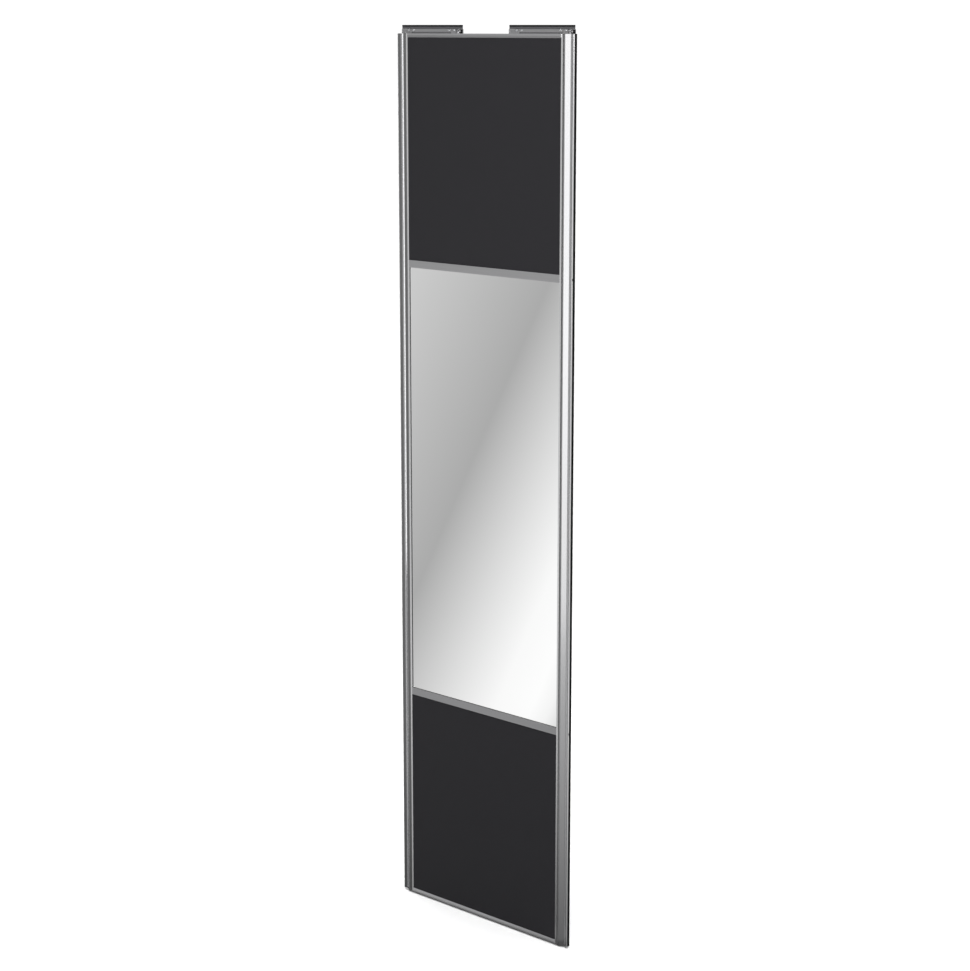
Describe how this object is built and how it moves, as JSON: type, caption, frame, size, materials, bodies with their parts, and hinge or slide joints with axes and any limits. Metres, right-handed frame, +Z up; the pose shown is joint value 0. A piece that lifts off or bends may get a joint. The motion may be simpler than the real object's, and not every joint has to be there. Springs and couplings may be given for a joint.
{
  "type": "sliding wardrobe door leaf",
  "caption": "Framed sliding wardrobe door leaf: two dark panels above and below a mirror, grip stiles, bottom wheel carriages and soft-close top guides.",
  "frame": {"origin": "running line of the two bottom wheels, midway between the stiles, on the wheels' mid-plane", "axes": "+X along the leaf's width to the right seen from the front, -Y out of the leaf's front face, +Z up"},
  "size_m": [0.622, 0.0336, 2.4571],
  "materials": {
    "satin_aluminium": "satin anodised extrusion",
    "rail_aluminium": "satin anodised extrusion",
    "anthracite_board": "smooth melamine-faced board, anthracite",
    "silvered_glass": "clear silvered mirror, 4 mm",
    "safety_film": "white-grey safety film",
    "gasket_rubber": "grey-black soft gasket",
    "pile_seal": "black woven pile",
    "zinc_steel": "bright zinc-plated",
    "grey_nylon": "moulded nylon",
    "white_nylon": "turned nylon",
    "bearing_steel": "ground steel",
    "black_plastic": "moulded acetal, black",
    "dark_grey_plastic": "moulded plastic, dark grey",
    "channel_aluminium": "mill-finish folded channel",
    "zinc_casting": "tumbled zinc casting",
    "spring_steel": "oiled spring wire",
    "damper_steel": "drawn steel tube"
  },
  "bodies": {
    "leaf": {"stile_left": "satin_aluminium", "stile_right": "satin_aluminium", "top_rail": "rail_aluminium", "bottom_rail": "rail_aluminium", "middle_rail_lower": "rail_aluminium", "middle_rail_upper": "rail_aluminium", "upper_panel": "anthracite_board", "lower_panel": "anthracite_board", "mirror_glass": "silvered_glass", "mirror_safety_film": "safety_film", "mirror_gasket": "gasket_rubber", "side_seal_left": "pile_seal", "side_seal_right": "pile_seal", "corner_screws": "zinc_steel", "middle_rail_screws": "zinc_steel", "carriage_screws": "zinc_steel", "guide_screws": "zinc_steel", "guide_rivets": "zinc_steel", "carriage_housing_left": "grey_nylon", "guide_base_left": "black_plastic", "guide_strip_left": "black_plastic", "guide_cover_left": "dark_grey_plastic", "guide_channel_left": "channel_aluminium", "end_brackets_left": "zinc_casting", "roller_pins_left": "bearing_steel", "catch_spring_left": "spring_steel", "damper_cylinder_left": "damper_steel", "carriage_housing_right": "grey_nylon", "guide_base_right": "black_plastic", "guide_strip_right": "black_plastic", "guide_cover_right": "dark_grey_plastic", "guide_channel_right": "channel_aluminium", "end_brackets_right": "zinc_casting", "roller_pins_right": "bearing_steel", "catch_spring_right": "spring_steel", "damper_cylinder_right": "damper_steel"},
    "carriage_left": {"wheel_fork_left": "zinc_steel", "wheel_axle_left": "bearing_steel", "wheel_spacers_left": "zinc_steel", "bearing_inner_ring_left": "bearing_steel"},
    "carriage_right": {"wheel_fork_right": "zinc_steel", "wheel_axle_right": "bearing_steel", "wheel_spacers_right": "zinc_steel", "bearing_inner_ring_right": "bearing_steel"},
    "wheel_left": {"wheel_left": "white_nylon", "bearing_outer_ring_left": "bearing_steel", "bearing_balls_left": "bearing_steel"},
    "adjusting_screw_left": {"adjusting_screw_left": "zinc_steel"},
    "guide_roller_front_left": {"guide_roller_front_left": "black_plastic"},
    "guide_roller_rear_left": {"guide_roller_rear_left": "black_plastic"},
    "catch_left": {"catch_left": "dark_grey_plastic", "piston_rod_left": "bearing_steel"},
    "wheel_right": {"wheel_right": "white_nylon", "bearing_outer_ring_right": "bearing_steel", "bearing_balls_right": "bearing_steel"},
    "adjusting_screw_right": {"adjusting_screw_right": "zinc_steel"},
    "guide_roller_front_right": {"guide_roller_front_right": "black_plastic"},
    "guide_roller_rear_right": {"guide_roller_rear_right": "black_plastic"},
    "catch_right": {"catch_right": "dark_grey_plastic", "piston_rod_right": "bearing_steel"}
  },
  "joints": [
    {"name": "height_left", "type": "slide", "parent": "leaf", "child": "carriage_left", "axis": [0, 0, 1], "range_m": [-0.004, 0.004]},
    {"name": "adjuster_turn_left", "type": "hinge", "parent": "leaf", "child": "adjusting_screw_left", "pos_m": [-0.2348, 0, 0.05], "axis": [0, 0, 1], "range_deg": [-1450, 1450]},
    {"name": "wheel_spin_left", "type": "hinge", "parent": "carriage_left", "child": "wheel_left", "pos_m": [-0.2073, 0, 0.02], "axis": [0, 1, 0], "continuous": true},
    {"name": "roller_spin_front_left", "type": "hinge", "parent": "leaf", "child": "guide_roller_front_left", "pos_m": [-0.08655, -0.005, 2.4409], "axis": [0, 1, 0], "continuous": true},
    {"name": "roller_spin_rear_left", "type": "hinge", "parent": "leaf", "child": "guide_roller_rear_left", "pos_m": [-0.2976, -0.005, 2.4409], "axis": [0, 1, 0], "continuous": true},
    {"name": "catch_slide_left", "type": "slide", "parent": "leaf", "child": "catch_left", "axis": [-1, 0, 0], "range_m": [0, 0.048], "stiffness_N_per_m": 60, "springref_m": -0.02, "deforming": ["catch_spring_left"]},
    {"name": "height_right", "type": "slide", "parent": "leaf", "child": "carriage_right", "axis": [0, 0, 1], "range_m": [-0.004, 0.004]},
    {"name": "adjuster_turn_right", "type": "hinge", "parent": "leaf", "child": "adjusting_screw_right", "pos_m": [0.2348, 0, 0.05], "axis": [0, 0, 1], "range_deg": [-1450, 1450]},
    {"name": "wheel_spin_right", "type": "hinge", "parent": "carriage_right", "child": "wheel_right", "pos_m": [0.2073, 0, 0.02], "axis": [0, 1, 0], "continuous": true},
    {"name": "roller_spin_front_right", "type": "hinge", "parent": "leaf", "child": "guide_roller_front_right", "pos_m": [0.2976, -0.005, 2.4409], "axis": [0, 1, 0], "continuous": true},
    {"name": "roller_spin_rear_right", "type": "hinge", "parent": "leaf", "child": "guide_roller_rear_right", "pos_m": [0.08655, -0.005, 2.4409], "axis": [0, 1, 0], "continuous": true},
    {"name": "catch_slide_right", "type": "slide", "parent": "leaf", "child": "catch_right", "axis": [1, 0, 0], "range_m": [0, 0.048], "stiffness_N_per_m": 60, "springref_m": -0.02, "deforming": ["catch_spring_right"]}
  ],
  "couplings": [
    {"joint": "adjuster_turn_left", "follows": "height_left", "rad_per_m": -6283.2},
    {"joint": "adjuster_turn_right", "follows": "height_right", "rad_per_m": -6283.2}
  ]
}
